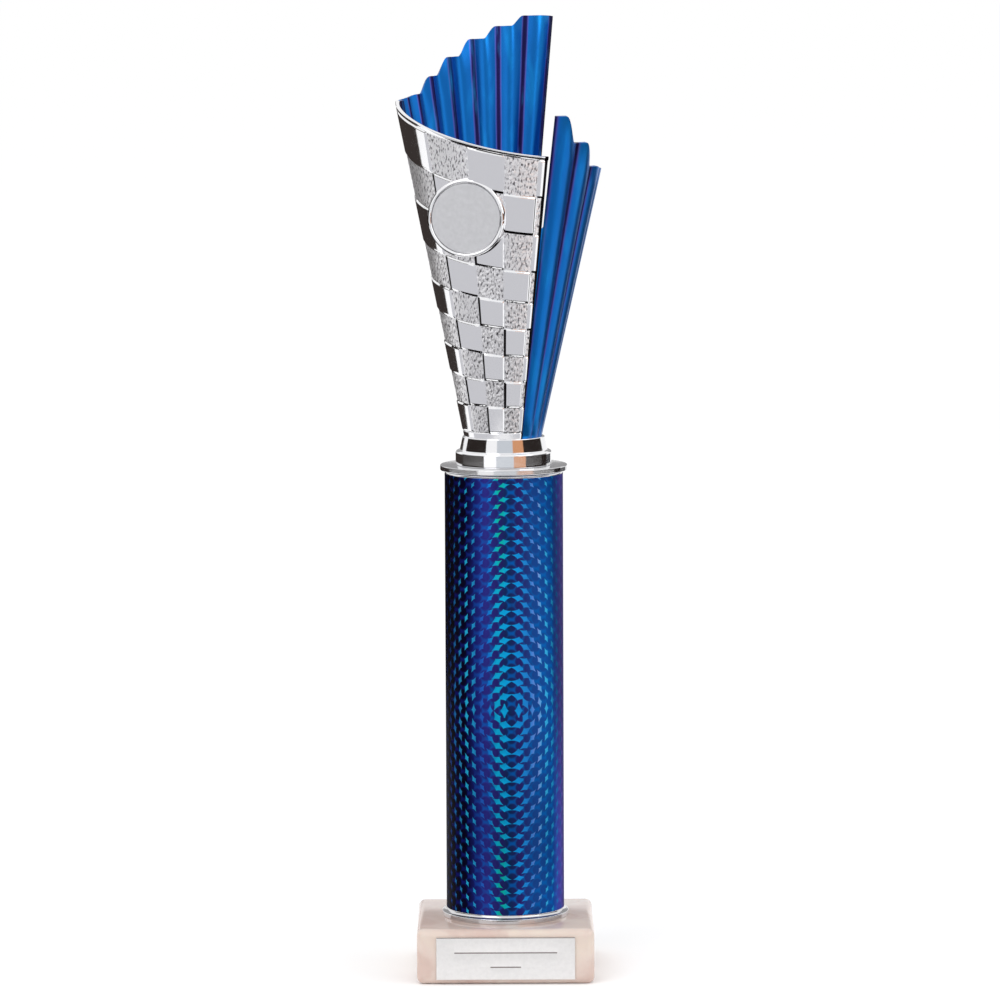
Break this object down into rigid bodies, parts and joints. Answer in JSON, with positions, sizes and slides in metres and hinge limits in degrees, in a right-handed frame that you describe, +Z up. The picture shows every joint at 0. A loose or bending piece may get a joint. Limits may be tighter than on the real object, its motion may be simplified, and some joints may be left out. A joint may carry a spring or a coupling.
{
  "type": "column trophy",
  "caption": "Tall column trophy: square marble base, foil-wrapped tube between metal caps, and an open conical cup, half checkered and half fluted, with a centre disc.",
  "frame": {"origin": "centre of the square base's underside, on the column's axis", "axes": "+Z up along the column, -Y out of the front face with the plate, +X to the viewer's right"},
  "size_m": [0.0741, 0.0808, 0.3455],
  "materials": {
    "marble": "polished pale pink marble",
    "zinc_steel": "zinc-plated",
    "spring_steel": "dark spring steel",
    "fibre": "vulcanised fibre, matte",
    "tape": "double-sided adhesive pad",
    "plate_metal": "satin",
    "cap_metal": "bright spun",
    "tube_plastic": "extruded, matte",
    "holo_foil": "holographic blue foil, small diamond pattern",
    "chrome_plastic": "vacuum-metallised plastic, bright silver",
    "blue_metallised": "vacuum-metallised plastic with blue lacquer",
    "brass": "knurled brass"
  },
  "bodies": {
    "root": {"marble_base": "marble", "cushion_washer": "fibre", "base_washer": "zinc_steel", "spring_washer": "spring_steel", "base_nut": "zinc_steel", "tie_rod": "zinc_steel", "plate_adhesive_pad": "tape", "engraving_plate": "plate_metal", "bottom_cap": "cap_metal", "column_tube": "tube_plastic", "foil_wrap": "holo_foil", "top_cap": "cap_metal", "top_washer": "zinc_steel", "column_nut": "zinc_steel", "cup_foot": "chrome_plastic", "threaded_insert": "brass", "cup_front_shell": "chrome_plastic", "cup_back_shell": "blue_metallised", "disc_adhesive_pad": "tape", "centre_disc": "plate_metal"}
  },
  "joints": []
}
